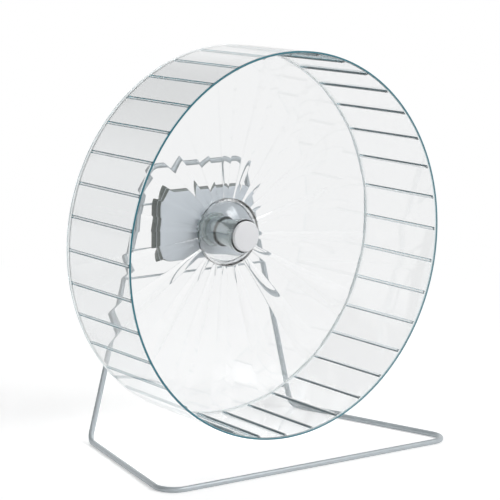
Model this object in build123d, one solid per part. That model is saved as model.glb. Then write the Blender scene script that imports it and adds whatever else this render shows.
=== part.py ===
from build123d import *
from math import cos, radians, sin
import os

# Rodent exercise wheel: a clear open drum with moulded rungs and a pleated clear back wall.
# It turns on a steel axle that a plastic block carries in a free-standing frame of bent wire.
# Millimetres. X runs across the wheel, Y along the axle from the open front to the back, Z up.
# The origin lies on the floor, in the middle of the stand's base, straight below the axle.
# The pieces follow one another along the axle, so each place below comes from its neighbour's.

# Wire stand: one closed loop, an upright trapezoid behind the wheel and a lying one on the floor.
wire_d = 4.0
base_depth = 145.7            # centre of the front run to centre of the rear legs
heel_half = 94.1              # half the width where the legs meet the floor
top_half = 42.7               # half the width of the top run
front_half = 131.75           # half the width of the front run
frame_height = 199.0          # floor run to top run, centre to centre
top_bend = 10.0
heel_bend = 7.0
front_bend = 14.0

# Thin cross wires, welded over the front of the two legs.
thin_d = 1.6
weld_gap = 0.05
lower_wire_drop = 34.0        # below the axle
thin_overhang = 1.2           # past the middle of each leg

# Axle.
axle_height = 154.0
axle_d = 6.0
axle_fit = 0.05               # radial play of the bushes and the block on the axle
axle_head_flat = 11.0         # across the flats of its hexagon head
axle_head_t = 4.0
pocket_play = 0.15

# Axle block: two shells, and a steel clamp plate that grips the two upper cross wires.
block_width = 85.2
block_height = 51.7
block_rise = 3.15             # middle of the block above the axle
block_corner = 11.0
front_shell_t = 5.0
rear_shell_t = 7.5
shell_wall = 2.0
rear_floor = 3.0
shell_round = 1.4
boss_d = 20.0                 # round boss that the thrust washer runs on
boss_proud = 3.0
tower_d = 24.0                # core of the shells round the axle
grip_pitch = 33.0             # between the two cross wires in the block
groove_play = 0.05
plate_width = 72.0
plate_height = 42.0
plate_corner = 6.0
plate_t = 1.5
screw_x = 29.0                # clamp screws, from the middle of the block
screw_z = 8.5
screw_d = 3.0
screw_head_d = 6.0
screw_head_t = 1.8
screw_skin = 1.6              # of the front shell left uncut ahead of each screw
screw_post_d = 8.0
hole_play = 0.15

# Washers on the axle, and the screw in its front end.
thrust_washer_d = 18.0
washer_t = 0.8
running_gap = 0.2             # end play of the wheel at each washer
end_washer_d = 10.4
end_screw_d = 4.0
end_screw_length = 10.0
end_screw_head_d = 7.2
end_screw_head_t = 2.4
end_screw_slot = 1.0

# Hub tube with its two bushes and the front cap.
hub_length = 42.0
hub_d = 19.0                  # ahead of the back wall
hub_rear_d = 22.0             # shoulder that the back wall sits on
hub_flange_d = 26.8
hub_flange_t = 4.0
hub_bore_d = 14.1
shoulder_back = 17.1          # rear end of the hub to the back wall's rear face
seat_play = 0.05
counterbore_d = 16.0
counterbore_depth = 5.2
bush_length = 9.0
bush_flange_t = 1.2
rear_bush_flange_d = 18.0
cap_d = 22.4
cap_t = 3.0
cap_skirt_length = 3.0
cap_skirt_wall = 1.5
cap_round = 0.8

# Clear drum.
drum_radius = 137.0           # inside, at the open rim
drum_width = 80.1
drum_wall = 1.8
drum_draft = 0.0263           # radius lost for each millimetre towards the back
bead_proud = 1.4
bead_length = 3.6
bead_round = 0.6
lip_reach = 2.6               # lip at the back that the wall is seated against
lip_t = 1.8

# Rungs on the running surface.
rung_count = 36
rung_width = 2.6
rung_height = 1.6
rung_margin = 1.5             # rim to the front end of a rung
rung_nose = 2.0               # length of its sloped front end

# Clear back wall, with radial pleats in its front.
pleat_count = 18
pleat_plate = 1.2             # thickness at the bottom of a pleat
pleat_relief = 2.0
pleat_phase = -5.0            # degrees from +X to the first ridge
rim_band = 2.4                # plain ring outside the pleats
wall_play = 0.2
hub_seat_play = 0.1

# Clear cone over the hub, seated on the middle of the back wall.
cone_base_d = 50.0
cone_nose_d = 24.6
cone_collar = 3.6
cone_foot = 1.2
cone_wall = 1.6
cone_bulge = 3.2              # how far its side swells out of a straight line

# Places along the axle, from the legs forward.
leg_y = base_depth / 2
thin_y = leg_y - wire_d / 2 - weld_gap - thin_d / 2
plate_y = thin_y + thin_d / 2
seam_y = plate_y - rear_shell_t
block_face_y = seam_y - front_shell_t
boss_face_y = block_face_y - boss_proud
hub_rear_y = boss_face_y - washer_t - running_gap
hub_front_y = hub_rear_y - hub_length
wall_rear_y = hub_rear_y - shoulder_back
wall_front_y = wall_rear_y - pleat_plate
drum_back_y = wall_rear_y + lip_t
drum_front_y = drum_back_y - drum_width
front_bush_y = hub_front_y + counterbore_depth - bush_flange_t
axle_end_y = front_bush_y - running_gap

# Heights.
floor_run_z = wire_d / 2
block_z = axle_height + block_rise
grip_heights = [block_z + grip_pitch / 2, block_z - grip_pitch / 2]

screw_places = [(sx * screw_x, block_z + sz * screw_z) for sx in (-1, 1) for sz in (-1, 1)]


def facing_back(y, x=0.0, z=axle_height):
    """A sketch plane square to the axle, its normal towards the back."""
    return Plane(origin=(x, y, z), x_dir=(-1, 0, 0), z_dir=(0, 1, 0))


def bar(d, y0, y1, x=0.0, z=axle_height):
    """A round bar along the axle's direction from y0 to y1."""
    return extrude(facing_back(y0, x, z) * Circle(d / 2), y1 - y0)


def turned(outline):
    """A piece turned about the axle from an outline of (radius, y) in the plane Z = 0."""
    return Pos(0, 0, axle_height) * revolve(make_face(outline), Axis.Y)


def ring(d_out, d_in, y0, y1):
    outline = Polyline((d_in / 2, y0), (d_out / 2, y0), (d_out / 2, y1), (d_in / 2, y1), close=True)
    return turned(outline)


def slab(width, height, corner, y0, y1):
    """A plate with round corners, square to the axle and centred on the block."""
    return extrude(facing_back(y0, 0, block_z) * RectangleRounded(width, height, corner), y1 - y0)


def cross_bar(d, half, z):
    """A round bar along X at the cross wires' place."""
    return extrude(Plane(origin=(-half, thin_y, z), z_dir=(1, 0, 0)) * Circle(d / 2), 2 * half)


# Stand

def make_stand_wire():
    top_z = floor_run_z + frame_height
    corners = [
        (top_half, leg_y, top_z), (heel_half, leg_y, floor_run_z), (front_half, -leg_y, floor_run_z),
        (-front_half, -leg_y, floor_run_z), (-heel_half, leg_y, floor_run_z), (-top_half, leg_y, top_z),
    ]
    bends = [top_bend, heel_bend, front_bend, front_bend, heel_bend, top_bend]
    path = FilletPolyline(*corners, radius=bends, close=True)
    return sweep(Plane(origin=path @ 0, z_dir=path % 0) * Circle(wire_d / 2), path=path)


def make_cross_wire(z):
    leg_x = heel_half - (heel_half - top_half) * (z - floor_run_z) / frame_height
    return cross_bar(thin_d, leg_x + thin_overhang, z)


def make_front_shell():
    shell = slab(block_width, block_height, block_corner, block_face_y, seam_y)
    shell = fillet(shell.faces().sort_by(Axis.Y)[0].edges(), shell_round)
    shell -= slab(block_width - 2 * shell_wall, block_height - 2 * shell_wall,
                  block_corner - shell_wall, block_face_y + shell_wall, seam_y)
    shell += bar(tower_d, block_face_y + shell_wall / 2, seam_y)
    shell += bar(boss_d, boss_face_y, block_face_y + shell_wall / 2)
    for x, z in screw_places:
        shell += bar(screw_post_d, block_face_y + shell_wall / 2, seam_y, x, z)
        shell -= bar(screw_d + 2 * hole_play, block_face_y + screw_skin, seam_y, x, z)
    return shell - bar(axle_d + 2 * axle_fit, boss_face_y, seam_y)


def make_rear_shell():
    floor_y = plate_y - rear_floor
    shell = slab(block_width, block_height, block_corner, seam_y, plate_y)
    shell = fillet(shell.faces().sort_by(Axis.Y)[-1].edges(), shell_round)
    shell -= slab(block_width - 2 * shell_wall, block_height - 2 * shell_wall,
                  block_corner - shell_wall, seam_y, floor_y)
    shell += bar(tower_d, seam_y, floor_y)
    hexagon = RegularPolygon(axle_head_flat / 2 + pocket_play, 6, major_radius=False)
    shell -= extrude(facing_back(seam_y) * hexagon, axle_head_t + pocket_play)
    for x, z in screw_places:
        shell += bar(screw_post_d, seam_y, floor_y, x, z)
        shell -= bar(screw_d + 2 * hole_play, seam_y, plate_y, x, z)
    groove_d = thin_d + 2 * groove_play
    for z in grip_heights:
        shell -= cross_bar(groove_d, block_width / 2, z)
        mouth = Box(block_width, groove_d, groove_d, align=(Align.CENTER, Align.MIN, Align.CENTER))
        shell -= Pos(0, thin_y, z) * mouth
    return shell


def make_clamp_plate():
    plate = slab(plate_width, plate_height, plate_corner, plate_y, plate_y + plate_t)
    for x, z in screw_places:
        plate -= bar(screw_d + 2 * hole_play, plate_y, plate_y + plate_t, x, z)
    return plate


def make_clamp_screws():
    head_y = plate_y + plate_t
    screws = []
    for x, z in screw_places:
        head = bar(screw_head_d, head_y, head_y + screw_head_t, x, z)
        head = fillet(head.faces().sort_by(Axis.Y)[-1].edges(), screw_head_t / 3)
        shank = bar(screw_d, block_face_y + screw_skin + hole_play, head_y, x, z)
        screws.append((head + shank).solid())
    return Compound(screws)


def make_axle():
    hexagon = RegularPolygon(axle_head_flat / 2, 6, major_radius=False)
    axle = extrude(facing_back(seam_y) * hexagon, axle_head_t) + bar(axle_d, axle_end_y, seam_y)
    return axle - bar(end_screw_d + 2 * seat_play, axle_end_y, axle_end_y + end_screw_length + hole_play)


def make_end_screw():
    seat_y = axle_end_y - washer_t
    front_y = seat_y - end_screw_head_t
    head = bar(end_screw_head_d, front_y, seat_y)
    head = fillet(head.faces().sort_by(Axis.Y)[0].edges(), end_screw_head_t / 4)
    head -= Pos(0, front_y, axle_height) * Box(end_screw_head_d, 2 * end_screw_slot, end_screw_slot)
    return head + bar(end_screw_d, seat_y, axle_end_y + end_screw_length)


def make_end_washer():
    return ring(end_washer_d, end_screw_d + 2 * hole_play, axle_end_y - washer_t, axle_end_y)


def make_thrust_washer():
    return ring(thrust_washer_d, axle_d + 2 * axle_fit, boss_face_y - washer_t, boss_face_y)


# Wheel

def drum_inside(y):
    """Inner radius of the drafted drum."""
    return drum_radius - drum_draft * (y - drum_front_y)


def make_rungs():
    """Round-topped ribs on the drafted running surface, each sloped down at the rim."""
    front = drum_front_y + rung_margin
    back = wall_front_y - pleat_relief
    root = drum_wall / 2
    top = rung_width / 2 - rung_height
    section = Pos(drum_inside(front) + top, 0) * Circle(rung_width / 2)
    section += Pos(drum_inside(front) + (top + root) / 2, 0) * Rectangle(root - top, rung_width)
    rib = Plane(origin=(0, front, 0), x_dir=(1, 0, 0), z_dir=(0, 1, 0)) * section
    rib = extrude(rib, back - front, dir=(-drum_draft, 1, 0))
    slope = Polyline((drum_inside(front), front), (drum_inside(front + rung_nose) - rung_height, front + rung_nose),
                     (drum_inside(front) - 2 * rung_height, front + rung_nose),
                     (drum_inside(front) - 2 * rung_height, front), close=True)
    rib -= extrude(make_face(slope), rung_width, both=True)
    return [Pos(0, 0, axle_height) * Rot(0, k * 360 / rung_count, 0) * rib for k in range(rung_count)]


def make_drum():
    bead_y = drum_front_y + bead_length
    bead_r = drum_radius + drum_wall + bead_proud
    lip_r = drum_inside(wall_rear_y) - lip_reach
    drum = turned(Polyline(
        (drum_radius, drum_front_y), (bead_r, drum_front_y), (bead_r, bead_y),
        (drum_inside(bead_y) + drum_wall, bead_y), (drum_inside(drum_back_y) + drum_wall, drum_back_y),
        (lip_r, drum_back_y), (lip_r, wall_rear_y), (drum_inside(wall_rear_y), wall_rear_y), close=True))
    bead = [e for e in drum.edges().filter_by(GeomType.CIRCLE) if abs(e.radius - bead_r) < bead_proud / 2]
    return fillet(bead, bead_round).fuse(*make_rungs())


def make_pleat_side(a0, a1, proud0, proud1, r_in, r_out):
    """One side of a pleat: a ruled loft from its inner to its outer end."""
    ends = []
    for r in (r_in, r_out):
        (xa, za), (xb, zb) = [(r * cos(radians(a)), r * sin(radians(a)) + axle_height) for a in (a0, a1)]
        ends.append(make_face(Polyline(
            (xa, wall_rear_y, za), (xa, wall_front_y - proud0, za),
            (xb, wall_front_y - proud1, zb), (xb, wall_rear_y, zb), close=True)))
    return loft(ends, ruled=True)


def make_back_wall():
    step = 180 / pleat_count
    flatten = 1 / cos(radians(step / 2))
    outer_r = drum_inside(wall_rear_y) - wall_play
    seat_r = cone_base_d / 2 + hub_seat_play
    pleat_r = outer_r - rim_band
    wall = ring(2 * outer_r, 2 * pleat_r, wall_front_y - pleat_relief / 2, wall_rear_y)
    hub_disc = ring(2 * seat_r * flatten, hub_d + 2 * hub_seat_play, wall_front_y, wall_rear_y)
    sides = []
    for k in range(2 * pleat_count):
        a0 = pleat_phase + k * step
        proud = (pleat_relief, 0.0) if k % 2 == 0 else (0.0, pleat_relief)
        sides.append(make_pleat_side(a0, a0 + step, *proud, seat_r * flatten, pleat_r * flatten))
    return wall.fuse(hub_disc, *sides)


def make_cone():
    collar_y = hub_front_y + cone_collar
    base_r, nose_r = cone_base_d / 2, cone_nose_d / 2
    bore_r = hub_d / 2 + hub_seat_play
    foot = (base_r, wall_front_y - cone_foot)
    inner_foot = (base_r - cone_wall, wall_front_y - cone_foot)
    inner_nose = (nose_r - cone_wall / 2, collar_y + cone_wall)
    outline = [
        Line((base_r, wall_front_y), foot),
        SagittaArc(foot, (nose_r, collar_y), cone_bulge),
        Polyline((nose_r, collar_y), (nose_r, hub_front_y), (bore_r, hub_front_y),
                 (bore_r, collar_y + cone_wall), inner_nose),
        SagittaArc(inner_nose, inner_foot, -cone_bulge),
        Polyline(inner_foot, (base_r - cone_wall, wall_front_y), (base_r, wall_front_y)),
    ]
    return turned(Wire(Curve() + outline))


def make_hub_tube():
    flange_y = hub_rear_y - hub_flange_t
    tube = turned(Polyline(
        (hub_bore_d / 2, hub_front_y), (hub_d / 2, hub_front_y), (hub_d / 2, wall_rear_y),
        (hub_rear_d / 2, wall_rear_y), (hub_rear_d / 2, flange_y), (hub_flange_d / 2, flange_y),
        (hub_flange_d / 2, hub_rear_y), (hub_bore_d / 2, hub_rear_y), close=True))
    rim = [e for e in tube.edges().filter_by(GeomType.CIRCLE) if abs(e.radius - hub_flange_d / 2) < seat_play]
    tube = fillet(rim, bead_round)
    tube -= bar(counterbore_d, hub_front_y, hub_front_y + counterbore_depth)
    return tube - bar(rear_bush_flange_d + 2 * seat_play, hub_rear_y - bush_flange_t, hub_rear_y)


def make_bush(flange_d, flange_y, inwards):
    """A flanged plain bearing; inwards is the direction from its flange into the hub."""
    flange_end = flange_y + inwards * bush_flange_t
    body_end = flange_y + inwards * bush_length
    bore = axle_d + 2 * axle_fit
    flange = ring(flange_d, bore, min(flange_y, flange_end), max(flange_y, flange_end))
    return flange + ring(hub_bore_d - 2 * seat_play, bore, min(flange_end, body_end), max(flange_end, body_end))


def make_cap():
    face = bar(cap_d, hub_front_y - cap_t, hub_front_y)
    face = fillet(face.faces().sort_by(Axis.Y)[0].edges(), cap_round)
    skirt_d = counterbore_d - 2 * seat_play
    return face + ring(skirt_d, skirt_d - 2 * cap_skirt_wall, hub_front_y, hub_front_y + cap_skirt_length)


pieces = {
    "stand_wire": make_stand_wire(),
    "upper_cross_wire": make_cross_wire(grip_heights[0]),
    "middle_cross_wire": make_cross_wire(grip_heights[1]),
    "lower_cross_wire": make_cross_wire(axle_height - lower_wire_drop),
    "block_front_shell": make_front_shell(),
    "block_rear_shell": make_rear_shell(),
    "clamp_plate": make_clamp_plate(),
    "clamp_screws": make_clamp_screws(),
    "axle": make_axle(),
    "thrust_washer": make_thrust_washer(),
    "axle_end_washer": make_end_washer(),
    "axle_end_screw": make_end_screw(),
    "running_drum": make_drum(),
    "back_wall": make_back_wall(),
    "hub_cone": make_cone(),
    "hub_tube": make_hub_tube(),
    "rear_bush": make_bush(rear_bush_flange_d, hub_rear_y, -1),
    "front_bush": make_bush(counterbore_d - 2 * seat_play, front_bush_y, 1),
    "front_cap": make_cap(),
}

os.makedirs("parts", exist_ok=True)
for name, shape in pieces.items():
    export_step(shape, f"parts/{name}.step")
    print(name, "volume", round(shape.volume, 1))
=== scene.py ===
from math import cos, radians, sin
import bpy
import numpy as np
from mathutils import Matrix, Vector


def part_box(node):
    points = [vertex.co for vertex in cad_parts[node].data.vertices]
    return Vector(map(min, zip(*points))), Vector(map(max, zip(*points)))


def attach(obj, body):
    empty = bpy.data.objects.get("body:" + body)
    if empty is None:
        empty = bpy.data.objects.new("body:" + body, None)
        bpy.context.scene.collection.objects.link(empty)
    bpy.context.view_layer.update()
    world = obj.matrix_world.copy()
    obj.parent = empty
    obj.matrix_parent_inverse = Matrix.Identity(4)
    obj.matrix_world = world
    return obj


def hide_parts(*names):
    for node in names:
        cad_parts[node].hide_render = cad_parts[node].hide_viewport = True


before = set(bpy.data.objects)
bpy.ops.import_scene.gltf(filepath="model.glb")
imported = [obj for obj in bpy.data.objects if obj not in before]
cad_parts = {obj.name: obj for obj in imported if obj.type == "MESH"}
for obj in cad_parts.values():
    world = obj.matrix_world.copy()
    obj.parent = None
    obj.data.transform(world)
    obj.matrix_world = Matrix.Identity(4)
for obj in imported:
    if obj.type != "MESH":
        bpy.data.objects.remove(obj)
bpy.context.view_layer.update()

# Looks of the rodent exercise wheel. Lengths are in millimetres and become metres in the meshes.
# The axle runs along Y through (0, 0, axleZ); the open side of the drum faces -Y.
mm = 0.001


# Lowest and highest corner of a CAD node, in millimetres.
def span(node):
    low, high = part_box(node)
    return np.array(low) / mm, np.array(high) / mm


drumLow, drumHigh = span("running_drum")
wallHigh = span("back_wall")[1]
coneLow, coneHigh = span("hub_cone")
tubeLow, tubeHigh = span("hub_tube")
capLow, capHigh = span("front_cap")
frontShellLow, frontShellHigh = span("block_front_shell")
rearShellHigh = span("block_rear_shell")[1]
plateLow, plateHigh = span("clamp_plate")
axleZ = (drumLow[2] + drumHigh[2]) / 2
# a profile that closes on the axle stops at this radius, so that no faces fall together there
pinhole = 0.01


# Mesh makers

# A mesh from points in millimetres, smooth but for edges sharper than smoothAngle, riding on a body.
def newPiece(name, points, faces, body, slotName, stands=(), smoothAngle=32):
    mesh = bpy.data.meshes.new(name)
    mesh.from_pydata(np.asarray(points) * mm, [], faces)
    mesh.validate()
    mesh.shade_smooth()
    mesh.set_sharp_from_angle(angle=radians(smoothAngle))
    piece = bpy.data.objects.new(name, mesh)
    bpy.context.scene.collection.objects.link(piece)
    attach(piece, body)
    if stands:
        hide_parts(*stands)
    return piece


# Quads between neighbours on a grid of rows by columns, wrapped round where it closes.
def gridFaces(rows, columns, closeRows=False, closeColumns=False, first=0):
    r = np.arange(rows if closeRows else rows - 1)[:, None]
    c = np.arange(columns if closeColumns else columns - 1)[None, :]
    r2, c2 = (r + 1) % rows, (c + 1) % columns
    quads = np.stack([r * columns + c, r * columns + c2, r2 * columns + c2, r2 * columns + c], axis=-1)
    return quads.reshape(-1, 4) + first


# The faces, turned round where the closed shape they make would be inside out.
def outward(points, faces):
    a, b, c, d = (points[faces[:, k]] for k in range(4))
    volume = np.einsum("ij,ij->i", a, np.cross(b, c)).sum() + np.einsum("ij,ij->i", a, np.cross(c, d)).sum()
    return faces[:, ::-1] if volume < 0 else faces


# Points at radius and y (rows by columns) and at an angle for each column, measured from +X towards +Z.
def turnedGrid(radius, y, angles):
    x, z = radius * np.cos(angles), axleZ + radius * np.sin(angles)
    return np.stack([x, y + 0 * radius * angles, z], axis=-1)


# A closed profile of (radius, y) carried round the axle.
def turnedPiece(name, profile, columns, *rest, **more):
    profile = np.array(profile, float)
    angles = np.linspace(0, 2 * np.pi, columns, endpoint=False)[None, :]
    points = turnedGrid(profile[:, :1], profile[:, 1:], angles).reshape(-1, 3)
    faces = outward(points, gridFaces(len(profile), columns, True, True))
    return newPiece(name, points, faces.tolist(), *rest, **more)


# A closed outline whose corners are replaced by arcs: each arc touches both of its sides.
def rounded(corners, radii, steps=6):
    corners = np.array(corners, float)
    found = []
    neighbours = zip(np.roll(corners, 1, 0), corners, np.roll(corners, -1, 0), radii)
    for before, corner, after, radius in neighbours:
        a, b = before - corner, after - corner
        a, b = a / np.linalg.norm(a), b / np.linalg.norm(b)
        half = np.arccos(np.clip(a @ b, -1, 1)) / 2
        if radius <= 0:
            found.append(corner[None, :])
            continue
        middle = corner + (a + b) / np.linalg.norm(a + b) * radius / np.sin(half)
        t = np.linspace(-1, 1, steps + 1)[:, None] * (np.pi / 2 - half)
        inwards = (corner - middle) / np.linalg.norm(corner - middle)
        across = (b - a) / np.linalg.norm(b - a)
        found.append(middle + radius * (np.cos(t) * inwards + np.sin(t) * across))
    return np.vstack(found)


# A circle carried along a path that never runs along Z: its frame is the tangent and two cross products.
def carriedTube(path, radius, sides, closed):
    path = np.array(path, float)
    ahead = np.roll(path, -1, 0) - np.roll(path, 1, 0)
    if not closed:
        ahead[0], ahead[-1] = path[1] - path[0], path[-1] - path[-2]
    tangent = ahead / np.linalg.norm(ahead, axis=1, keepdims=True)
    across = np.cross(tangent, [0, 0, 1])
    across /= np.linalg.norm(across, axis=1, keepdims=True)
    other = np.cross(tangent, across)
    turn = np.linspace(0, 2 * np.pi, sides, endpoint=False)[None, :, None]
    radius = np.broadcast_to(np.asarray(radius, float), (len(path),))[:, None, None]
    ring = across[:, None, :] * np.cos(turn) + other[:, None, :] * np.sin(turn)
    return (path[:, None, :] + radius * ring).reshape(-1, 3)


# Faces of an open tube of rows by sides, with a flat face on each end.
def capped(points, rows, sides):
    faces = outward(points, gridFaces(rows, sides, False, True)).tolist()
    start = list(range(sides))
    end = list(range((rows - 1) * sides, rows * sides))
    return faces + [start[::-1], end] if turnsWith(start, faces) else faces + [start, end[::-1]]


# Whether the first face runs along the ring in the ring's own direction.
def turnsWith(ring, faces):
    return any((ring[0], ring[1]) in zip(face, face[1:] + face[:1]) for face in faces[:4])


# The next material on the faces that a mask picks.
def secondMaterial(piece, material, picked):
    indices = np.zeros(len(piece.data.polygons), np.int32)
    piece.data.polygons.foreach_get("material_index", indices)
    piece.data.materials.append(material)
    indices[np.asarray(picked).ravel()] = len(piece.data.materials) - 1
    piece.data.polygons.foreach_set("material_index", indices)


# Materials

# An input's value: a link where another node gives it, or a constant.
def feed(links, socket, value):
    if isinstance(value, bpy.types.NodeSocket):
        links.new(value, socket)
    else:
        socket.default_value = value


def mathNode(nodes, links, operation, *values):
    made = nodes.new("ShaderNodeMath")
    made.operation = operation
    for socket, value in zip(made.inputs, values):
        feed(links, socket, value)
    return made.outputs[0]


def rangeNode(nodes, links, value, fromRange, toRange, interpolation="LINEAR"):
    made = nodes.new("ShaderNodeMapRange")
    made.interpolation_type = interpolation
    feed(links, made.inputs["Value"], value)
    for label, end in zip(("From Min", "From Max", "To Min", "To Max"), (*fromRange, *toRange)):
        feed(links, made.inputs[label], end)
    return made.outputs["Result"]


def smoothNode(nodes, links, value, fromRange, toRange):
    return rangeNode(nodes, links, value, fromRange, toRange, "SMOOTHSTEP")


# A colour that goes from first to second as share goes from 0 to 1.
def mixNode(nodes, links, share, first, second):
    made = nodes.new("ShaderNodeMix")
    made.data_type = "RGBA"
    feed(links, made.inputs["Factor"], share)
    feed(links, made.inputs["A"], first)
    feed(links, made.inputs["B"], second)
    return made.outputs["Result"]


def noiseNode(nodes, links, vector, scale, detail):
    made = nodes.new("ShaderNodeTexNoise")
    feed(links, made.inputs["Vector"], vector)
    feed(links, made.inputs["Scale"], scale)
    made.inputs["Detail"].default_value = detail
    return made.outputs["Fac"]


# An empty node group with its sockets.
def group(name, inputs, outputs):
    made = bpy.data.node_groups.new(name, "ShaderNodeTree")
    for label, kind, value in inputs:
        socket = made.interface.new_socket(label, in_out="INPUT", socket_type=kind)
        socket.default_value = value
    for label, kind in outputs:
        made.interface.new_socket(label, in_out="OUTPUT", socket_type=kind)
    return made, made.nodes.new("NodeGroupInput"), made.nodes.new("NodeGroupOutput")


# Fine grain of a moulded or painted surface: its tone, its roughness and the height of its grain.
# Patches of tone and roughness lie under the grain; their scales count per metre.
skinRecipe = {"grainDetail": 3.0, "patchScale": 38.0, "patchDetail": 4.0, "patchRange": (0.3, 0.7),
              "grainDepth": 0.2}


def mouldedSkin():
    made, given, out = group("mouldedSkin", [
        ("Vector", "NodeSocketVector", (0, 0, 0)), ("Colour", "NodeSocketColor", (0.5, 0.5, 0.5, 1)),
        ("Grain size", "NodeSocketFloat", 0.0006), ("Tone spread", "NodeSocketFloat", 0.05),
        ("Roughness", "NodeSocketFloat", 0.4), ("Roughness spread", "NodeSocketFloat", 0.1),
    ], [("Colour", "NodeSocketColor"), ("Roughness", "NodeSocketFloat"), ("Height", "NodeSocketFloat")])
    nodes, links = made.nodes, made.links
    vector = given.outputs["Vector"]
    scale = mathNode(nodes, links, "DIVIDE", 1.0, given.outputs["Grain size"])
    grain = noiseNode(nodes, links, vector, scale, skinRecipe["grainDetail"])
    patches = noiseNode(nodes, links, vector, skinRecipe["patchScale"], skinRecipe["patchDetail"])
    tone = skinRecipe["patchRange"]
    darkest = mathNode(nodes, links, "SUBTRACT", 1.0, given.outputs["Tone spread"])
    shade = nodes.new("ShaderNodeVectorMath")
    shade.operation = "SCALE"
    links.new(given.outputs["Colour"], shade.inputs[0])
    links.new(rangeNode(nodes, links, patches, tone, (darkest, 1.0)), shade.inputs["Scale"])
    links.new(shade.outputs["Vector"], out.inputs["Colour"])
    rough = mathNode(nodes, links, "MULTIPLY_ADD", patches, given.outputs["Roughness spread"],
                     given.outputs["Roughness"])
    links.new(rough, out.inputs["Roughness"])
    links.new(grain, out.inputs["Height"])
    return made


# Fine rubbed streaks and a few dust spots: a mask from 0 to 1. Scales count per metre; the ranges say where
# in its texture a streak or a spot begins and where it is full.
marksRecipe = {"stretch": (900.0, 60.0, 240.0), "streakDetail": 2.0, "streakRange": (0.58, 0.75),
               "spotScale": 420.0, "spotRange": (0.13, 0.06)}


def handlingMarks():
    made, given, out = group("handlingMarks", [
        ("Vector", "NodeSocketVector", (0, 0, 0)), ("Streaks", "NodeSocketFloat", 0.5),
        ("Dust", "NodeSocketFloat", 0.3),
    ], [("Mask", "NodeSocketFloat")])
    nodes, links = made.nodes, made.links
    stretch = nodes.new("ShaderNodeMapping")
    stretch.inputs["Scale"].default_value = marksRecipe["stretch"]
    links.new(given.outputs["Vector"], stretch.inputs["Vector"])
    streaks = noiseNode(nodes, links, stretch.outputs["Vector"], 1.0, marksRecipe["streakDetail"])
    lines = rangeNode(nodes, links, streaks, marksRecipe["streakRange"], (0.0, 1.0))
    dots = nodes.new("ShaderNodeTexVoronoi")
    dots.inputs["Scale"].default_value = marksRecipe["spotScale"]
    links.new(given.outputs["Vector"], dots.inputs["Vector"])
    spots = rangeNode(nodes, links, dots.outputs["Distance"], marksRecipe["spotRange"], (0.0, 1.0))
    rubbed = mathNode(nodes, links, "MULTIPLY", lines, given.outputs["Streaks"])
    mask = mathNode(nodes, links, "MULTIPLY_ADD", spots, given.outputs["Dust"], rubbed)
    mask.node.use_clamp = True
    links.new(mask, out.inputs["Mask"])
    return made


skinGroup = mouldedSkin()
marksGroup = handlingMarks()


def newMaterial(name):
    material = bpy.data.materials.new(name)
    material.use_nodes = True
    tree = material.node_tree
    return material, tree.nodes, tree.links, tree.nodes["Principled BSDF"]


# A solid finish, with a fine grain in its normals.
def skinMaterial(name, look):
    material, nodes, links, shader = newMaterial(name)
    place = nodes.new("ShaderNodeTexCoord")
    skin = nodes.new("ShaderNodeGroup")
    skin.node_tree = skinGroup
    skin.inputs["Colour"].default_value = (*look["colour"], 1)
    skin.inputs["Grain size"].default_value = look["grain"] * mm
    skin.inputs["Tone spread"].default_value = look["toneSpread"]
    skin.inputs["Roughness"].default_value = look["roughness"]
    skin.inputs["Roughness spread"].default_value = look["roughnessSpread"]
    links.new(place.outputs["Object"], skin.inputs["Vector"])
    links.new(skin.outputs["Colour"], shader.inputs["Base Color"])
    links.new(skin.outputs["Roughness"], shader.inputs["Roughness"])
    bump = nodes.new("ShaderNodeBump")
    bump.inputs["Strength"].default_value = look["bump"]
    bump.inputs["Distance"].default_value = look["grain"] * mm * skinRecipe["grainDepth"]
    links.new(skin.outputs["Height"], bump.inputs["Height"])
    links.new(bump.outputs["Normal"], shader.inputs["Normal"])
    shader.inputs["Metallic"].default_value = look.get("metallic", 0.0)
    if "coat" in look:
        shader.inputs["Coat Weight"].default_value = look["coat"]
        shader.inputs["Coat Roughness"].default_value = look["coatRoughness"]
    return material


# Clear moulding: tinted where the tealEdge attribute says that light runs far through the plastic.
def clearMaterial(name, look):
    material, nodes, links, shader = newMaterial(name)
    shader.inputs["Transmission Weight"].default_value = look["transmission"]
    shader.inputs["IOR"].default_value = look["ior"]
    edge = nodes.new("ShaderNodeAttribute")
    edge.attribute_name = "tealEdge"
    colour = mixNode(nodes, links, edge.outputs["Fac"], (*look["colour"], 1), (*look["edgeColour"], 1))
    if "innerPaintedShade" in look:
        # painted shade: seen from within the plastic, a steep side turns the view along the wall and looks
        # dark, so it is painted near black
        facing = nodes.new("ShaderNodeNewGeometry")
        colour = mixNode(nodes, links, facing.outputs["Backfacing"], colour, (*look["innerPaintedShade"], 1))
    links.new(colour, shader.inputs["Base Color"])
    place = nodes.new("ShaderNodeTexCoord")
    marks = nodes.new("ShaderNodeGroup")
    marks.node_tree = marksGroup
    marks.inputs["Streaks"].default_value = look["streaks"]
    marks.inputs["Dust"].default_value = look["dust"]
    links.new(place.outputs["Object"], marks.inputs["Vector"])
    rough = (look["roughness"], look["markRoughness"])
    links.new(rangeNode(nodes, links, marks.outputs["Mask"], (0.0, 1.0), rough), shader.inputs["Roughness"])
    # lamps shine through the clear plastic: it is nearly absent for shadow rays
    rays = nodes.new("ShaderNodeLightPath")
    alpha = rangeNode(nodes, links, rays.outputs["Is Shadow Ray"], (0.0, 1.0), (1.0, look["shadow"]))
    links.new(alpha, shader.inputs["Alpha"])
    return material


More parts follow.
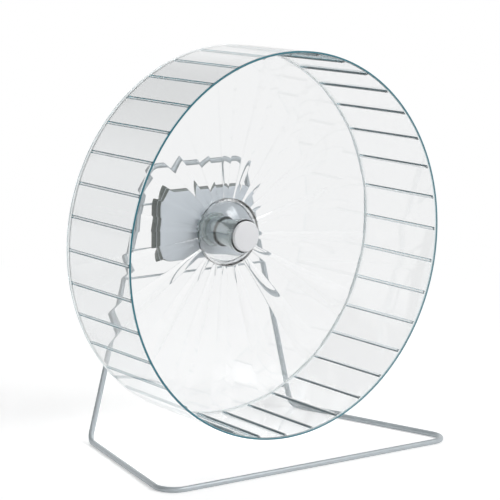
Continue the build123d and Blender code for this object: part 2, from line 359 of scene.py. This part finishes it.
looks = {
    "wirePaint": {"colour": (0.53, 0.58, 0.61), "grain": 0.5, "toneSpread": 0.05, "roughness": 0.3,
                  "roughnessSpread": 0.12, "bump": 0.25, "metallic": 0.25, "coat": 0.2,
                  "coatRoughness": 0.1},
    "blockPlastic": {"colour": (0.66, 0.71, 0.76), "grain": 0.35, "toneSpread": 0.05, "roughness": 0.32,
                     "roughnessSpread": 0.12, "bump": 0.25},
    # painted shade: a near-black copy of the block's pale grey, for the side faces that turn away from the
    # light
    "blockSidePaintedShade": {"colour": (0.075, 0.105, 0.09), "grain": 0.35, "toneSpread": 0.12, "roughness": 0.35,
                  "roughnessSpread": 0.12, "bump": 0.25},
    "hubGrey": {"colour": (0.50, 0.56, 0.56), "grain": 0.6, "toneSpread": 0.08, "roughness": 0.14,
                "roughnessSpread": 0.08, "bump": 0.1, "metallic": 0.75},
    "capPlastic": {"colour": (0.95, 0.955, 0.975), "grain": 0.3, "toneSpread": 0.03, "roughness": 0.38,
                   "roughnessSpread": 0.1, "bump": 0.2},
    "bushPlastic": {"colour": (0.74, 0.72, 0.66), "grain": 0.4, "toneSpread": 0.04, "roughness": 0.45,
                    "roughnessSpread": 0.1, "bump": 0.15},
    "cutRim": {"colour": (0.03, 0.22, 0.29), "grain": 0.8, "toneSpread": 0.1, "roughness": 0.25,
               "roughnessSpread": 0.15, "bump": 0.1},
    "innerRim": {"colour": (0.32, 0.44, 0.47), "grain": 0.8, "toneSpread": 0.1, "roughness": 0.25,
                 "roughnessSpread": 0.15, "bump": 0.1},
    "brightSteel": {"colour": (0.60, 0.61, 0.63), "grain": 0.8, "toneSpread": 0.1, "roughness": 0.25,
                    "roughnessSpread": 0.15, "bump": 0.2, "metallic": 1.0},
}
paints = {name: skinMaterial(name, look) for name, look in looks.items()}

# Clear plastic, and what differs from it on a rung, on a rung's sides and where pieces are joined
clearLook = {"colour": (0.885, 0.893, 0.897), "edgeColour": (0.22, 0.56, 0.63), "ior": 1.5,
             "transmission": 1.0, "roughness": 0.0, "markRoughness": 0.12, "streaks": 0.35, "dust": 0.25,
             "shadow": 0.12}
# painted highlight: a rung's crown is near white and only partly clear, a pale stripe standing in for the
# highlight along it
rungPaintedHighlightLook = {**clearLook, "colour": (0.96, 0.98, 0.99), "transmission": 0.55, "roughness": 0.04}
# painted shade: a rung's sides are tinted darker teal, and near black seen from within, standing in for the
# dark edges that refraction draws along it
rungFlankPaintedShadeLook = {**rungPaintedHighlightLook, "colour": (0.50, 0.66, 0.72), "innerPaintedShade": (0.0, 0.13, 0.19),
                 "transmission": 0.65}
bondLook = {**clearLook, "colour": (0.98, 0.99, 0.99), "transmission": 0.7, "roughness": 0.35}
clearPlastic = clearMaterial("clearPlastic", clearLook)
rungPaintedHighlight = clearMaterial("rungPaintedHighlight", rungPaintedHighlightLook)
rungFlankPaintedShade = clearMaterial("rungFlankPaintedShade", rungFlankPaintedShadeLook)
bondLine = clearMaterial("bondLine", bondLook)
print("materials made")

# CAD nodes that stay as they are
nodePaints = {
    "axle": "brightSteel", "thrust_washer": "brightSteel", "axle_end_washer": "brightSteel",
    "axle_end_screw": "brightSteel", "clamp_screws": "brightSteel", "rear_bush": "bushPlastic",
    "front_bush": "bushPlastic",
}
for nodeName, paint in nodePaints.items():
    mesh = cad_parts[nodeName].data
    mesh.materials.clear()
    mesh.materials.append(paints[paint])


# Stand wire

standWire = {"diameter": 4.0, "baseDepth": 145.7, "heelHalf": 94.1, "topHalf": 42.7, "frontHalf": 131.75,
             "frameHeight": 199.0, "topBend": 10.0, "heelBend": 7.0, "frontBend": 14.0, "sides": 40,
             "bendSteps": 20}


def makeStandWire():
    s = standWire
    legY = s["baseDepth"] / 2
    low = s["diameter"] / 2
    top = low + s["frameHeight"]
    corners = [
        (s["topHalf"], legY, top), (s["heelHalf"], legY, low), (s["frontHalf"], -legY, low),
        (-s["frontHalf"], -legY, low), (-s["heelHalf"], legY, low), (-s["topHalf"], legY, top),
    ]
    bends = [s["topBend"], s["heelBend"], s["frontBend"]]
    path = rounded(corners, bends + bends[::-1], s["bendSteps"])
    points = carriedTube(path, s["diameter"] / 2, s["sides"], True)
    faces = outward(points, gridFaces(len(path), s["sides"], True, True))
    piece = newPiece("standWire", points, faces.tolist(), "stand", "wire_paint", ["stand_wire"])
    piece.data.materials.append(paints["wirePaint"])
    return piece


makeStandWire()

# Thin cross wires
crossWires = {"sides": 24, "endRound": 0.5, "endSteps": 6}


def makeCrossWire(name, node):
    low, high = span(node)
    r = (high[2] - low[2]) / 2
    y, z = (low[1] + high[1]) / 2, (low[2] + high[2]) / 2
    # radius along the wire: rounded ends, then full
    t = np.linspace(0, np.pi / 2, crossWires["endSteps"])
    ends = low[0] + crossWires["endRound"] * (1 - np.cos(t))
    x = np.concatenate([ends, -ends[::-1]])
    radius = r - crossWires["endRound"] * (1 - np.sin(t))
    radius = np.concatenate([radius, radius[::-1]])
    path = np.stack([x, 0 * x + y, 0 * x + z], axis=-1)
    points = carriedTube(path, radius, crossWires["sides"], False)
    faces = capped(points, len(path), crossWires["sides"])
    piece = newPiece(name, points, faces, "stand", "wire_paint", [node])
    piece.data.materials.append(paints["wirePaint"])
    return piece


for wireName in ("upper", "middle", "lower"):
    makeCrossWire(wireName + "CrossWire", wireName + "_cross_wire")
print("stand wires made")


# Axle block

blockShells = {"corner": 11.0, "cornerSteps": 14, "smallestCorner": 0.3, "edgeRound": 1.4, "edgeSteps": 7,
               "seamRound": 0.6, "seamSteps": 4, "sideTurn": 0.6}
boss = {"diameter": 20.0, "proud": 3.0, "bore": 6.4, "edge": 0.6, "edgeSteps": 6, "rootOverlap": 0.4,
        "sides": 96}
clampPlate = {"corner": 6.0, "cornerSteps": 10, "backRound": 0.25, "backSteps": 4, "frontLand": 0.2}


# Points of a rectangle with round corners round the block's middle, at y.
def roundedRing(halfX, halfZ, corner, y, steps):
    z0 = (frontShellLow[2] + frontShellHigh[2]) / 2
    corners = np.array([(halfX, halfZ), (-halfX, halfZ), (-halfX, -halfZ), (halfX, -halfZ)], float)
    flat = rounded(corners, [corner] * 4, steps)
    return np.stack([flat[:, 0], 0 * flat[:, 0] + y, z0 + flat[:, 1]], axis=-1)


# A rounded rectangle drawn in by each row's inset: profile is a list of (inset, y).
def slabPoints(halfX, halfZ, corner, profile, steps):
    smallest = blockShells["smallestCorner"]
    return np.array([roundedRing(halfX - inset, halfZ - inset, max(corner - inset, smallest), y, steps)
                     for inset, y in profile])


def makeSlab(name, halfX, halfZ, corner, profile, steps, *rest, **more):
    rows = slabPoints(halfX, halfZ, corner, profile, steps)
    points = rows.reshape(-1, 3)
    return newPiece(name, points, capped(points, rows.shape[0], rows.shape[1]), *rest, **more)


# Profile rows of a quarter round from (inset, y0) on the face to (0, y1) on the side.
def quarter(inset, y0, y1, steps):
    t = np.linspace(0, np.pi / 2, steps)
    return [(inset * (1 - np.sin(a)), y0 + (y1 - y0) * (1 - np.cos(a))) for a in t]


def makeBlock():
    b = blockShells
    halfX, halfZ = frontShellHigh[0], (frontShellHigh[2] - frontShellLow[2]) / 2
    seam = frontShellHigh[1]
    face = frontShellLow[1] + boss["proud"]
    front = quarter(b["edgeRound"], face, face + b["edgeRound"], b["edgeSteps"])
    front += quarter(b["seamRound"], seam, seam - b["seamRound"], b["seamSteps"])[::-1]
    rear = quarter(b["seamRound"], seam, seam + b["seamRound"], b["seamSteps"])
    back = rearShellHigh[1]
    rear += quarter(b["edgeRound"], back, back - b["edgeRound"], b["edgeSteps"])[::-1]
    for name, profile, node in (("blockFrontShell", front, "block_front_shell"),
                                ("blockRearShell", rear, "block_rear_shell")):
        piece = makeSlab(name, halfX, halfZ, b["corner"], profile, b["cornerSteps"], "stand",
                         "block_plastic", [node])
        piece.data.materials.append(paints["blockPlastic"])
        normals = np.zeros((len(piece.data.polygons), 3), np.float32)
        piece.data.polygons.foreach_get("normal", normals.ravel())
        # painted shade: the side faces get the near-black copy, the front and back faces keep the pale grey
        secondMaterial(piece, paints["blockSidePaintedShade"], np.abs(normals[:, 1]) < b["sideTurn"])


def makeBoss():
    low = frontShellLow[1]
    root = low + boss["proud"] + boss["rootOverlap"]
    outer, bore, edge = boss["diameter"] / 2, boss["bore"] / 2, boss["edge"]
    t = np.linspace(0, np.pi / 2, boss["edgeSteps"])
    profile = [(bore, low), (bore, root), (outer, root)]
    profile += [(outer - edge * (1 - np.cos(a)), low + edge * (1 - np.sin(a))) for a in t]
    piece = turnedPiece("blockBoss", profile, boss["sides"], "stand", "block_plastic")
    piece.data.materials.append(paints["blockPlastic"])


def makePlate():
    c = clampPlate
    halfX, halfZ = plateHigh[0], (plateHigh[2] - plateLow[2]) / 2
    y0, y1 = plateLow[1], plateHigh[1]
    profile = [(0.0, y0), (0.0, y0 + c["frontLand"])]
    profile += quarter(c["backRound"], y1, y1 - c["backRound"], c["backSteps"])[::-1]
    piece = makeSlab("clampPlate", halfX, halfZ, c["corner"], profile, c["cornerSteps"], "stand",
                     "bright_steel", ["clamp_plate"])
    piece.data.materials.append(paints["brightSteel"])


makeBlock()
makeBoss()
makePlate()
print("axle block made")


# Hub

hub = {"bore": 14.1, "frontDiameter": 19.0, "rearDiameter": 22.0, "flangeDiameter": 26.8, "flange": 4.0,
       "shoulderBack": 17.1, "frontEdge": 0.2, "rootFillet": 0.3, "flangeEdge": 0.5, "sides": 128}
cap = {"thickness": 3.0, "edge": 0.8, "edgeSteps": 7, "dome": 0.35, "domeSteps": 12, "skirtRadius": 7.95,
       "skirtWall": 1.5, "sides": 128}


def makeHubTube():
    y0, y1 = tubeLow[1], tubeHigh[1]
    r0, r1, r2, rb = (hub[k] / 2 for k in ("frontDiameter", "rearDiameter", "flangeDiameter", "bore"))
    shoulder, flange = y1 - hub["shoulderBack"], y1 - hub["flange"]
    nose, fillet, edge = hub["frontEdge"], hub["rootFillet"], hub["flangeEdge"]
    # the middle of a rounded edge lies this far from both of its faces
    soft = 0.3 * edge
    profile = [(rb, y0), (r0 - nose, y0), (r0, y0 + nose), (r0, shoulder), (r1, shoulder),
               (r1, flange - fillet), (r1 + fillet, flange), (r2 - edge, flange), (r2 - soft, flange + soft),
               (r2, flange + edge), (r2, y1 - edge), (r2 - soft, y1 - soft), (r2 - edge, y1), (rb, y1)]
    piece = turnedPiece("hubTube", profile, hub["sides"], "wheel", "block_plastic", ["hub_tube"])
    piece.data.materials.append(paints["hubGrey"])


def makeCap():
    y0, y1 = capLow[1], capLow[1] + cap["thickness"]
    outer, edge, dome, skirt = capHigh[0], cap["edge"], cap["dome"], cap["skirtRadius"]
    flat = outer - edge
    radii = np.linspace(pinhole, flat, cap["domeSteps"])[:-1]
    profile = [(r, y0 + dome * (r / flat) ** 2) for r in radii]
    t = np.linspace(0, np.pi / 2, cap["edgeSteps"])
    profile += [(outer - edge * (1 - np.sin(a)), y0 + dome + edge * (1 - np.cos(a))) for a in t]
    inside = skirt - cap["skirtWall"]
    profile += [(outer, y1), (skirt, y1), (skirt, capHigh[1]), (inside, capHigh[1]), (inside, y1),
                (pinhole, y1)]
    piece = turnedPiece("frontCap", profile, cap["sides"], "wheel", "cap_plastic", ["front_cap"])
    piece.data.materials.append(paints["capPlastic"])


makeHubTube()
makeCap()
print("hub made")


# Clear drum and its back wall

drum = {"rimRadius": 138.1, "wall": 1.5, "draft": 0.0263, "rimRound": 0.45, "roundSteps": 5,
        "insideCorner": 0.1, "lip": 1.8, "lipReach": 1.2, "lipEdge": 0.3, "backEdge": 0.4, "wallPlay": 0.2,
        "outsideRows": 8, "outsideBack": 4.0, "outsideFront": 2.0}
rung = {"count": 36, "width": 2.4, "height": 1.35, "frontMargin": 2.0, "nose": 2.0, "noseSteps": 7,
        "noseAngle": 0.1, "noseGap": 0.01, "noseLand": 1.5, "backMargin": 0.4, "tail": 0.8, "tailSteps": 5,
        "tailLand": 1.5, "endGap": 1.0, "rows": 12, "crownColumns": (0, 0.3), "flankStart": 0.42,
        "flankColumns": (0.78, 0.9, 0.97, 1.0), "besideColumns": (0.05, 0.5), "betweenColumns": (0.25, 0.5)}
# how far from each end of the drum its plastic is tinted, over what length the tint fades, and how much
edgeTint = {"rimReach": 1.6, "rimFade": 0.8, "rimShare": 0.6, "backReach": 0.5, "backFade": 0.4,
            "backShare": 1.0}
wall = {"plate": 1.2, "flutes": 18, "relief": 1.0, "phase": 10.0, "halfAngle": 5.0, "shoulder": 0.08,
        "rimBand": 2.4, "runOut": 1.5, "bond": 1.0, "coneSeat": 50.0, "hubHole": 19.2, "edge": 0.2,
        "seatGap": 0.1, "runIn": 1.5, "fluteRows": 18, "fluteColumns": 19, "fluteReach": 1.15,
        "flatColumn": 1.5, "backRows": 8, "backOuter": 8.0, "backInner": 3.0}
rimRadius = drum["rimRadius"]
wallFront = wallHigh[1] - wall["plate"]


def drumInside(y):
    return rimRadius - drum["draft"] * (y - drumLow[1])


# The share of edge tint at each point of a clear piece.
def tagEdge(piece, values):
    tag = piece.data.attributes.new("tealEdge", "FLOAT", "POINT")
    tag.data.foreach_set("value", np.asarray(values, np.float32).ravel())


# Rows of the drum's closed section, from the rim along the inside, round the lip and back along the outside:
# radius, y and share of rung. With them come the first rows of the lip, of its plain back and of the rim.
def drumRows():
    d = drum
    y0, yBack = drumLow[1], drumHigh[1]
    yWall = yBack - d["lip"]
    rungStart, rungEnd = y0 + rung["frontMargin"], wallFront - rung["backMargin"]
    nose, tail = rung["nose"], rung["tail"]
    stretch = [(y0 + d["rimRound"], 0), (rungStart, 0)]
    turn = np.linspace(rung["noseAngle"], np.pi / 2, rung["noseSteps"])
    stretch += [(rungStart + rung["noseGap"] + nose * (1 - np.cos(t)), np.sin(t)) for t in turn]
    crown = (rungStart + nose + rung["noseLand"], rungEnd - rung["tailLand"] * tail)
    stretch += [(y, 1) for y in np.linspace(*crown, rung["rows"])]
    turn = np.linspace(0, np.pi / 2, rung["tailSteps"])
    stretch += [(rungEnd - tail + tail * np.sin(t), np.cos(t)) for t in turn]
    stretch += [(rungEnd + rung["endGap"], 0), (yWall - d["insideCorner"], 0)]
    inner = [(drumInside(y), y, share) for y, share in stretch]
    lip, e = drumInside(yWall) - d["lipReach"], d["lipEdge"]
    outer, b = drumInside(yBack) + d["wall"], d["backEdge"]
    lipRows = [(drumInside(yWall) - d["insideCorner"], yWall), (lip + e, yWall), (lip, yWall + e),
               (lip, yBack - e), (lip + e, yBack)]
    outside = np.linspace(yBack - d["outsideBack"], y0 + d["outsideFront"], d["outsideRows"])
    rest = [(outer - b, yBack), (outer - b / 4, yBack - b / 4), (outer, yBack - b)]
    rest += [(drumInside(y) + d["wall"], y) for y in outside]
    turn = np.linspace(0, np.pi / 2, d["roundSteps"])
    r, outer = d["rimRound"], rimRadius + d["wall"]
    rim = [(outer - r * (1 - np.cos(t)), y0 + r * (1 - np.sin(t))) for t in turn]
    rim += [(rimRadius + r * (1 - np.sin(t)), y0 + r * (1 - np.cos(t))) for t in turn[:-1]]
    rows = inner + [(r, y, 0) for r, y in lipRows + rest + rim]
    lipStart, lipEnd = len(inner), len(inner) + len(lipRows)
    return np.array(rows), lipStart, lipEnd, lipEnd + len(rest)


def makeDrum():
    rows, lipStart, lipEnd, rimStart = drumRows()
    y0, yBack = drumLow[1], drumHigh[1]
    # columns: close across each rung and wide between rungs, measured along the wall from a rung's middle
    half = rung["width"] / 2
    across = np.array([*rung["crownColumns"], rung["flankStart"], *rung["flankColumns"]]) * half
    pitch = 2 * np.pi * rimRadius / rung["count"]
    beside, between = half + np.array(rung["besideColumns"]), pitch * np.array(rung["betweenColumns"])
    right = np.concatenate([across, beside, between])
    offsets = np.sort(np.concatenate([-right[1:-1], right]))
    # across a rung its height is an arc of a circle that is sunk into the wall
    sunk = half - rung["height"]
    arc = np.sqrt(np.maximum(half ** 2 - offsets ** 2, 0)) - sunk
    heights = np.tile(np.where(np.abs(offsets) <= half, arc, 0), rung["count"])
    firsts = np.arange(rung["count"])[:, None] * 2 * np.pi / rung["count"]
    angles = (firsts + offsets[None, :] / rimRadius).ravel()
    radius = rows[:, :1] - rows[:, 2:] * heights[None, :]
    points = turnedGrid(radius, rows[:, 1:2], angles[None, :]).reshape(-1, 3)
    faces = outward(points, gridFaces(len(rows), len(angles), True, True))
    piece = newPiece("clearDrum", points, faces.tolist(), "wheel", "clear_plastic", ["running_drum"],
                     smoothAngle=40)
    t = edgeTint
    nearRim = np.clip((y0 + t["rimReach"] - rows[:, 1]) / t["rimFade"], 0, 1) * t["rimShare"]
    nearBack = np.clip((rows[:, 1] - yBack + t["backReach"]) / t["backFade"], 0, 1) * t["backShare"]
    nearBack *= rows[:, 0] > drumInside(yBack) + drum["wall"] - t["backReach"]
    tagEdge(piece, np.repeat((nearRim + nearBack)[:, None], len(angles), 1))
    piece.data.materials.append(clearPlastic)
    row = np.arange(len(rows))[:, None] + 0 * angles[None, :]
    # a face belongs to the column at its lower angle, so a rung's two sides are picked by the face's middle
    middle = np.abs(offsets + np.append(offsets[1:], offsets[0] + pitch)) / 2
    onRung = (rows[:, 2:] > 0) & np.tile(middle <= half, rung["count"])[None, :]
    onFlank = onRung & np.tile(middle > rung["flankStart"] * half, rung["count"])[None, :]
    secondMaterial(piece, paints["cutRim"], row >= rimStart)
    secondMaterial(piece, paints["innerRim"], row >= rimStart + drum["roundSteps"])
    secondMaterial(piece, bondLine, (row >= lipStart) & (row < lipEnd))
    # painted highlight on the rungs' crowns
    secondMaterial(piece, rungPaintedHighlight, onRung)
    # painted shade on the rungs' sides
    secondMaterial(piece, rungFlankPaintedShade, onFlank)


# Clear back wall with radial flutes: low swells that widen outwards, with flats between.
def makeWall():
    w = wall
    back, e = wallHigh[1], w["edge"]
    outer = drumInside(back) - drum["wallPlay"]
    seat, fluteEnd, hole = w["coneSeat"] / 2 + w["seatGap"], outer - w["rimBand"], w["hubHole"] / 2
    period, half = radians(360 / w["flutes"]), radians(w["halfAngle"])
    inside = np.linspace(0, w["fluteReach"], w["fluteColumns"]) * half
    right = np.concatenate([inside, [w["flatColumn"] * half, period / 2]])
    offsets = np.sort(np.concatenate([-right[1:-1], right]))
    angles = (radians(w["phase"]) + np.arange(w["flutes"])[:, None] * period + offsets[None, :]).ravel()
    # a parabola over the flute, softened where it meets the flat: root of (swell squared + s squared), less s
    swell = np.maximum(1 - (np.tile(offsets, w["flutes"]) / half) ** 2, 0)
    s = w["shoulder"]
    wave = (np.sqrt(swell ** 2 + s ** 2) - s) / (np.sqrt(1 + s ** 2) - s)
    fluted = np.geomspace(seat + w["runIn"], fluteEnd - w["runOut"], w["fluteRows"])
    rows = [(hole, wallFront, 0), (seat - w["seatGap"], wallFront, 0), (seat, wallFront, 1)]
    rows += [(r, wallFront, 1) for r in fluted]
    rows += [(fluteEnd, wallFront, 0)]
    bondStart = len(rows)
    rows += [(outer - w["bond"], wallFront, 0), (outer - e, wallFront, 0), (outer, wallFront + e, 0),
             (outer, back - e, 0), (outer - e, back, 0)]
    bondEnd = len(rows) - 1
    plain = np.geomspace(outer - w["backOuter"], hole + w["backInner"], w["backRows"])
    rows += [(r, back, 0) for r in plain] + [(hole, back, 0)]
    rows = np.array(rows)
    y = rows[:, 1:2] - rows[:, 2:] * w["relief"] * wave[None, :]
    radius = rows[:, :1] + 0 * wave[None, :]
    points = np.stack([radius * np.cos(angles), y, axleZ + radius * np.sin(angles)], axis=-1).reshape(-1, 3)
    faces = outward(points, gridFaces(len(rows), len(angles), True, True))
    piece = newPiece("flutedWall", points, faces.tolist(), "wheel", "clear_plastic", ["back_wall"],
                     smoothAngle=40)
    tagEdge(piece, np.zeros(len(points)))
    piece.data.materials.append(clearPlastic)
    row = np.repeat(np.arange(len(rows)), len(angles))
    secondMaterial(piece, bondLine, (row >= bondStart) & (row < bondEnd))


makeDrum()
makeWall()


# Clear cone over the hub

cone = {"base": 50.0, "nose": 24.6, "wall": 1.6, "foot": 1.2, "collar": 3.6, "bulge": 3.2, "steps": 24,
        "bore": 19.2, "noseWall": 1.4, "edge": 0.3, "sides": 160}


# Points from the foot to the nose that swell by sag away from the axle, most at a third of the way:
# the swell is 27/4 t (1 - t) squared, with t from 0 at the foot to 1 at the nose.
def bowed(foot, nose, sag, steps):
    a, b = np.array(foot, float), np.array(nose, float)
    t = np.linspace(0, 1, steps)[:, None]
    along = (b - a) / np.linalg.norm(b - a)
    aside = np.array([-along[1], along[0]])
    if aside[0] < 0:
        aside = -aside
    return a + (b - a) * t + aside * sag * 27 / 4 * t * (1 - t) ** 2


def makeCone():
    c = cone
    y0, y1 = coneLow[1], coneHigh[1]
    base, nose, bore = c["base"] / 2, c["nose"] / 2, c["bore"] / 2
    foot, collar, inset, e = y1 - c["foot"], y0 + c["collar"], c["wall"], c["edge"]
    outer = bowed((base, foot), (nose, collar), c["bulge"], c["steps"])
    inner = bowed((base - inset, foot), (nose - inset, collar), c["bulge"], c["steps"])[::-1]
    profile = [(base, y1), *outer, (nose, y0 + e), (nose - e, y0), (bore, y0), (bore, y0 + c["noseWall"]),
               (nose - inset, y0 + c["noseWall"] + e), *inner, (base - inset, y1)]
    piece = turnedPiece("hubCone", profile, c["sides"], "wheel", "clear_plastic", ["hub_cone"],
                        smoothAngle=40)
    tagEdge(piece, np.zeros(len(piece.data.vertices)))
    piece.data.materials.append(clearPlastic)


makeCone()
print("clear wheel made")


# Floor, light and camera, with lengths in metres. The entries ceiling, left and behind are ranges of a ray's
# direction, over which the light overhead, on the left and behind the wheel comes in.
studio = {
    "floorSize": 9.0, "floorColour": (0.86, 0.86, 0.86), "floorLift": 0.40, "floorNear": 0.22,
    "floorFar": 0.75, "worldLight": 0.42, "ceilingShade": 0.30, "leftShade": 0.30,
    "ceiling": (0.30, 0.62), "left": (-0.85, -0.25), "behind": (-0.15, 0.15),
    "lamps": {
        "key": {"from": (0.9, -1.5, 1.9), "size": 1.4, "power": 34.0, "mirrored": True},
        "back": {"from": (0.5, 1.9, 1.6), "size": 1.6, "power": 22.0, "mirrored": False},
        "fill": {"from": (-1.6, -1.6, 0.9), "size": 1.2, "power": 8.0, "mirrored": True},
    },
}


# A pale floor that keeps the shadow near the wheel and fades to plain white away from it.
def makeFloor():
    half = studio["floorSize"] / 2
    mesh = bpy.data.meshes.new("floor")
    corners = [(-half, -half, 0), (half, -half, 0), (half, half, 0), (-half, half, 0)]
    mesh.from_pydata(corners, [], [(0, 1, 2, 3)])
    floor = bpy.data.objects.new("floor", mesh)
    bpy.context.scene.collection.objects.link(floor)
    material, nodes, links, shader = newMaterial("paleFloor")
    shader.inputs["Roughness"].default_value = 0.9
    shader.inputs["Specular IOR Level"].default_value = 0.0
    shader.inputs["Emission Color"].default_value = (1, 1, 1, 1)
    place = nodes.new("ShaderNodeTexCoord")
    away = nodes.new("ShaderNodeVectorMath")
    away.operation = "LENGTH"
    links.new(place.outputs["Object"], away.inputs[0])
    reach = (studio["floorNear"], studio["floorFar"])
    far = smoothNode(nodes, links, away.outputs["Value"], reach, (0, 1))
    faded = mixNode(nodes, links, far, (*studio["floorColour"], 1), (0, 0, 0, 1))
    links.new(faded, shader.inputs["Base Color"])
    lift = smoothNode(nodes, links, away.outputs["Value"], reach, (studio["floorLift"], 1.0))
    rays = nodes.new("ShaderNodeLightPath")
    seen = mathNode(nodes, links, "MAXIMUM", rays.outputs["Is Camera Ray"], rays.outputs["Is Glossy Ray"])
    seen = mathNode(nodes, links, "MAXIMUM", seen, rays.outputs["Is Transmission Ray"])
    links.new(mathNode(nodes, links, "MULTIPLY", seen, lift), shader.inputs["Emission Strength"])
    mesh.materials.append(material)


# White where it is seen behind the wheel, and darker on the left and overhead for reflections and soft light.
def makeWorld():
    world = bpy.data.worlds.new("studio")
    bpy.context.scene.world = world
    world.use_nodes = True
    nodes, links = world.node_tree.nodes, world.node_tree.links
    background = nodes["Background"]
    background.inputs["Color"].default_value = (1, 1, 1, 1)
    rays = nodes.new("ShaderNodeLightPath")
    place = nodes.new("ShaderNodeTexCoord")
    split = nodes.new("ShaderNodeSeparateXYZ")
    links.new(place.outputs["Generated"], split.inputs[0])
    x, y, z = split.outputs
    overhead = smoothNode(nodes, links, z, studio["ceiling"], (1.0, studio["ceilingShade"]))
    aside = smoothNode(nodes, links, x, studio["left"], (studio["leftShade"], 1.0))
    shade = mathNode(nodes, links, "MULTIPLY", overhead, aside)
    level = mathNode(nodes, links, "MAXIMUM", rays.outputs["Is Glossy Ray"], studio["worldLight"])
    level = mathNode(nodes, links, "MULTIPLY", level, shade)
    behind = smoothNode(nodes, links, y, studio["behind"], (0.0, 1.0))
    through = mathNode(nodes, links, "MULTIPLY", rays.outputs["Is Transmission Ray"], behind)
    through = mathNode(nodes, links, "MULTIPLY", through, overhead)
    seen = mathNode(nodes, links, "MAXIMUM", rays.outputs["Is Camera Ray"], through)
    links.new(mathNode(nodes, links, "MAXIMUM", level, seen), background.inputs["Strength"])


def makeLamps():
    for name, lamp in studio["lamps"].items():
        light = bpy.data.lights.new(name, "AREA")
        light.shape = "SQUARE"
        light.size = lamp["size"]
        light.energy = lamp["power"]
        made = bpy.data.objects.new(name, light)
        bpy.context.scene.collection.objects.link(made)
        place = Vector(lamp["from"])
        made.location = place
        made.visible_glossy = lamp["mirrored"]
        made.visible_transmission = lamp["mirrored"]
        made.rotation_euler = (Vector((0, 0, axleZ * mm)) - place).to_track_quat("-Z", "Y").to_euler()


# The camera stands where the photograph's rungs and stand wires put it
view = {"azimuth": -37.81, "elevation": 10.32, "roll": 0.85, "distance": 1863.47, "focal": 2580.98,
        "aside": -4.69, "down": -7.95, "centreY": -1.65, "frame": 500, "sensor": 36.0,
        "clipEnd": 50.0}


def makeCamera():
    a, e, r = (radians(view[k]) for k in ("azimuth", "elevation", "roll"))
    back = Vector((sin(a) * cos(e), -cos(a) * cos(e), sin(e)))
    right = Vector((cos(a), sin(a), 0))
    up = back.cross(right)
    right, up, flatRight = cos(r) * right + sin(r) * up, cos(r) * up - sin(r) * right, right
    target = view["aside"] * flatRight + view["down"] * back.cross(flatRight)
    place = (target + back * view["distance"] + Vector((0, view["centreY"], axleZ))) * mm
    camera = bpy.data.cameras.new("camera")
    camera.sensor_width = view["sensor"]
    camera.lens = view["focal"] * view["sensor"] / view["frame"]
    camera.clip_end = view["clipEnd"]
    made = bpy.data.objects.new("camera", camera)
    bpy.context.scene.collection.objects.link(made)
    made.matrix_world = Matrix((
        (right.x, up.x, back.x, place.x), (right.y, up.y, back.y, place.y),
        (right.z, up.z, back.z, place.z), (0, 0, 0, 1)))
    bpy.context.scene.camera = made


makeFloor()
makeWorld()
makeLamps()
makeCamera()
bpy.context.scene.view_settings.view_transform = "Standard"
print("studio made")

bpy.context.view_layer.update()
